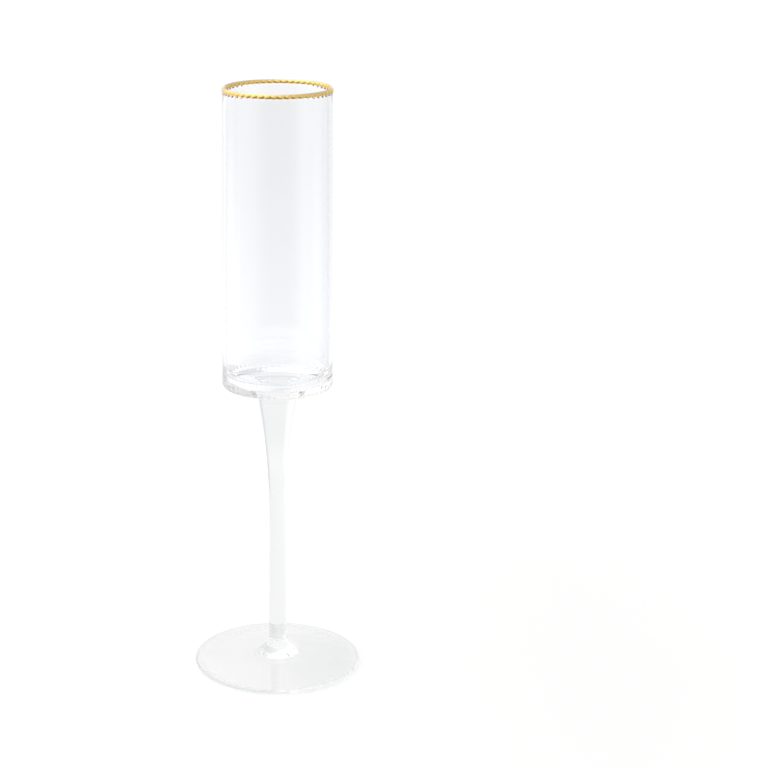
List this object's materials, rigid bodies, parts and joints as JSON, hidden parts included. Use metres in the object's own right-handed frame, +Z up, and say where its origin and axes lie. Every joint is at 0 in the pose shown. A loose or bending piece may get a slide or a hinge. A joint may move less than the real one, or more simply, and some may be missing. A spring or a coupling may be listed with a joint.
{
  "type": "champagne flute",
  "caption": "Tall champagne flute: ribbed cylindrical glass bowl with a gilded lip, on a slim flared stem and a round foot.",
  "frame": {"origin": "centre of the plane that the foot rests on", "axes": "+Z up along the flute's axis, from the foot to the lip; +X and +Y are any two level directions, as the flute is round"},
  "size_m": [0.0726, 0.0726, 0.254],
  "materials": {
    "clear_glass": "fire-polished",
    "fired_gold": "bright gilding"
  },
  "bodies": {
    "root": {"bowl": "clear_glass", "gold_rim": "fired_gold", "stem": "clear_glass", "foot": "clear_glass"}
  },
  "joints": []
}
